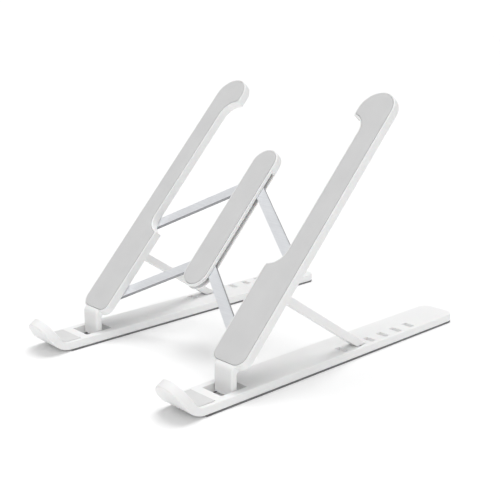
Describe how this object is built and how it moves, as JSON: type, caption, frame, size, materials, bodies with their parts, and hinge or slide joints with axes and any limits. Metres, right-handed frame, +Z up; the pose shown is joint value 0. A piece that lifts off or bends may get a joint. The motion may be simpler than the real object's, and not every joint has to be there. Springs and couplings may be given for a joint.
{
  "type": "foldable laptop stand",
  "caption": "Folding laptop stand with hooked base rails, sloping padded arms, a padded centre beam on metal links, and props that set the height.",
  "frame": {"origin": "centre of the footprint, on the desk under the rubber strips", "axes": "+X to the user's right, +Y away from the user along the rails, +Z up"},
  "size_m": [0.1656, 0.2574, 0.1681],
  "materials": {
    "white_plastic": "fine satin moulding",
    "arm_silicone": "matte light grey silicone",
    "hook_silicone": "matte pale grey silicone",
    "base_rubber": "matte dark grey rubber",
    "aluminium": "fine satin anodised",
    "steel": "satin"
  },
  "bodies": {
    "beam": {"beam_shell": "white_plastic", "beam_pad": "arm_silicone", "beam_cover": "white_plastic", "beam_pins": "steel", "beam_screws": "steel"},
    "left_upper_link": {"left_upper_link": "aluminium"},
    "left_lower_link": {"left_lower_link": "aluminium"},
    "left_arm": {"left_arm_shell": "white_plastic", "left_arm_pad": "arm_silicone", "left_arm_cover": "white_plastic", "left_arm_screws": "steel", "left_link_rivets": "steel", "left_strut_pin": "steel"},
    "left_strut": {"left_strut": "white_plastic"},
    "left_base": {"left_base_rail": "white_plastic", "left_base_strip": "base_rubber", "left_hook_pad": "hook_silicone", "left_neck_pin": "steel"},
    "right_upper_link": {"right_upper_link": "aluminium"},
    "right_lower_link": {"right_lower_link": "aluminium"},
    "right_arm": {"right_arm_shell": "white_plastic", "right_arm_pad": "arm_silicone", "right_arm_cover": "white_plastic", "right_arm_screws": "steel", "right_link_rivets": "steel", "right_strut_pin": "steel"},
    "right_strut": {"right_strut": "white_plastic"},
    "right_base": {"right_base_rail": "white_plastic", "right_base_strip": "base_rubber", "right_hook_pad": "hook_silicone", "right_neck_pin": "steel"}
  },
  "joints": [
    {"name": "side_fold", "type": "hinge", "parent": "beam", "child": "left_upper_link", "pos_m": [-0.0053, 0.00462, 0.1041], "axis": [0, -0.7314, 0.682], "range_deg": [0, 47.2]},
    {"name": "left_lower_link_pivot", "type": "hinge", "parent": "beam", "child": "left_lower_link", "pos_m": [-0.0053, -0.03814, 0.05825], "axis": [0, -0.7314, 0.682], "range_deg": [0, 47.2]},
    {"name": "right_upper_link_pivot", "type": "hinge", "parent": "beam", "child": "right_upper_link", "pos_m": [0.0053, 0.00462, 0.1041], "axis": [0, -0.7314, 0.682], "range_deg": [-47.2, 0]},
    {"name": "right_lower_link_pivot", "type": "hinge", "parent": "beam", "child": "right_lower_link", "pos_m": [0.0053, -0.03814, 0.05825], "axis": [0, -0.7314, 0.682], "range_deg": [-47.2, 0]},
    {"name": "left_arm_pivot", "type": "hinge", "parent": "left_upper_link", "child": "left_arm", "pos_m": [-0.0685, -0.02669, 0.07052], "axis": [0, -0.7314, 0.682], "range_deg": [-47.2, 0]},
    {"name": "right_arm_pivot", "type": "hinge", "parent": "right_upper_link", "child": "right_arm", "pos_m": [0.0685, -0.02669, 0.07052], "axis": [0, -0.7314, 0.682], "range_deg": [0, 47.2]},
    {"name": "left_tilt", "type": "hinge", "parent": "left_arm", "child": "left_base", "pos_m": [-0.0691, -0.08209, 0.0042], "axis": [1, 0, 0], "range_deg": [0, 47]},
    {"name": "left_strut_pivot", "type": "hinge", "parent": "left_arm", "child": "left_strut", "pos_m": [-0.0759, -0.04409, 0.05546], "axis": [1, 0, 0], "range_deg": [0, 81]},
    {"name": "right_tilt", "type": "hinge", "parent": "right_arm", "child": "right_base", "pos_m": [0.0691, -0.08209, 0.0042], "axis": [1, 0, 0], "range_deg": [0, 47]},
    {"name": "right_strut_pivot", "type": "hinge", "parent": "right_arm", "child": "right_strut", "pos_m": [0.0759, -0.04409, 0.05546], "axis": [1, 0, 0], "range_deg": [0, 81]}
  ],
  "couplings": [
    {"joint": "left_lower_link_pivot", "follows": "side_fold", "ratio": 1},
    {"joint": "right_upper_link_pivot", "follows": "side_fold", "ratio": -1},
    {"joint": "right_lower_link_pivot", "follows": "side_fold", "ratio": -1},
    {"joint": "left_arm_pivot", "follows": "side_fold", "ratio": -1},
    {"joint": "right_arm_pivot", "follows": "side_fold", "ratio": 1},
    {"joint": "left_strut_pivot", "follows": "left_tilt", "ratio": 1.7213},
    {"joint": "right_strut_pivot", "follows": "right_tilt", "ratio": 1.7213}
  ]
}
